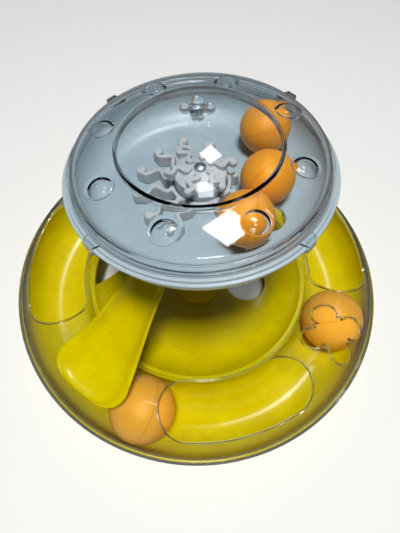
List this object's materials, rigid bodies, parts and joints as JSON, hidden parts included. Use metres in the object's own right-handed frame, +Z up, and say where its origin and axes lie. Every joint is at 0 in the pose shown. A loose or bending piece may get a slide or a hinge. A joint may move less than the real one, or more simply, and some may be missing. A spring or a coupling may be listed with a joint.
{
  "type": "treat dispensing toy",
  "caption": "Two-tier pet toy: a covered ring track with loose balls round a dish, and a domed treat saucer that rocks and spins on a post above a flared chute.",
  "frame": {"origin": "centre of the base on the surface it stands on", "axes": "+Z up along the post, +Y to the back of the pictured view"},
  "size_m": [0.24, 0.24, 0.1699],
  "materials": {
    "yellow_plastic": "moulded, glossy",
    "clear_plastic": "clear, polished",
    "pale_plastic": "milky, moulded",
    "orange_plastic": "satin, blown",
    "foot_rubber": "matte",
    "screw_steel": "zinc plated"
  },
  "bodies": {
    "base": {"track_trough": "yellow_plastic", "centre_dish": "yellow_plastic", "pedestal": "yellow_plastic", "treat_chute": "yellow_plastic", "track_cover": "clear_plastic", "foot_pads": "foot_rubber", "pedestal_screws": "screw_steel"},
    "pivot": {"pivot_bush": "pale_plastic", "hub_cap": "pale_plastic", "cap_screw": "screw_steel"},
    "saucer": {"saucer_bowl": "pale_plastic", "treat_maze": "pale_plastic"},
    "lid": {"saucer_lid": "clear_plastic", "lid_knob": "clear_plastic"},
    "front_ball": {"track_ball_front": "orange_plastic"},
    "right_ball": {"track_ball_right": "orange_plastic"},
    "back_treat_ball": {"saucer_ball_back": "orange_plastic"},
    "middle_treat_ball": {"saucer_ball_middle": "orange_plastic"},
    "front_treat_ball": {"saucer_ball_front": "orange_plastic"}
  },
  "joints": [
    {"name": "saucer_rock", "type": "hinge", "parent": "base", "child": "pivot", "pos_m": [0, 0, 0.1195], "axis": [0.6871, 0.7266, 0], "range_deg": [0, 9.2]},
    {"name": "saucer_spin", "type": "hinge", "parent": "pivot", "child": "saucer", "pos_m": [0, 0, 0.1195], "axis": [-0.0583, 0.0551, 0.9968], "continuous": true},
    {"name": "lid_lift", "type": "slide", "parent": "saucer", "child": "lid", "axis": [-0.0583, 0.0551, 0.9968], "range_m": [0, 0.06]},
    {"name": "front_ball_roll", "type": "hinge", "parent": "base", "child": "front_ball", "pos_m": [0, 0, 0.0238], "axis": [0, 0, 1], "range_deg": [-122, 32]},
    {"name": "right_ball_roll", "type": "hinge", "parent": "base", "child": "right_ball", "pos_m": [0, 0, 0.0238], "axis": [0, 0, 1], "range_deg": [-32, 122]},
    {"name": "middle_treat_ball_roll", "type": "hinge", "parent": "saucer", "child": "middle_treat_ball", "pos_m": [0, 0, 0.1195], "axis": [-0.0583, 0.0551, 0.9968], "range_deg": [-25, 25]},
    {"name": "back_treat_ball_roll", "type": "hinge", "parent": "saucer", "child": "back_treat_ball", "pos_m": [0, 0, 0.1195], "axis": [-0.0583, 0.0551, 0.9968], "range_deg": [-25, 25]},
    {"name": "front_treat_ball_roll", "type": "hinge", "parent": "saucer", "child": "front_treat_ball", "pos_m": [0, 0, 0.1195], "axis": [-0.0583, 0.0551, 0.9968], "range_deg": [-25, 25]}
  ],
  "couplings": [
    {"joint": "back_treat_ball_roll", "follows": "middle_treat_ball_roll", "ratio": 1},
    {"joint": "front_treat_ball_roll", "follows": "middle_treat_ball_roll", "ratio": 1}
  ]
}
